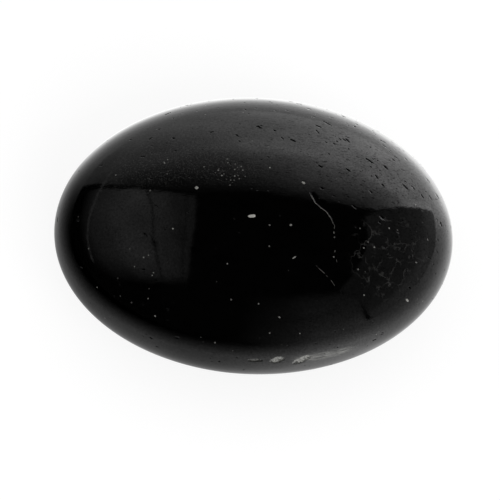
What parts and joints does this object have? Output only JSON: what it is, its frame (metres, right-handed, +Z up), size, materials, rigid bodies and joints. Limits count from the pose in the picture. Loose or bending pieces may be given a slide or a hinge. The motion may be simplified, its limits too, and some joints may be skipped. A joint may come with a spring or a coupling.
{
  "type": "basalt massage stone",
  "caption": "Smooth oval hot-stone massage pebble of polished black basalt, domed above, with a small flat to rest on.",
  "frame": {"origin": "middle of the small flat under the belly that the stone rests on, which is the bottom centre of its box", "axes": "+Z up through the crown, the shortest way through the stone; +X along its length; +Y across its width"},
  "size_m": [0.07, 0.053, 0.032],
  "materials": {
    "polished_basalt": "tumbled and polished to a mirror gloss",
    "vein_mineral": "polished flush, slightly duller than the basalt",
    "feldspar": "polished flush, faintly waxy"
  },
  "bodies": {
    "root": {"stone_body": "polished_basalt", "vein_fill": "vein_mineral", "feldspar_crystals": "feldspar"}
  },
  "joints": []
}
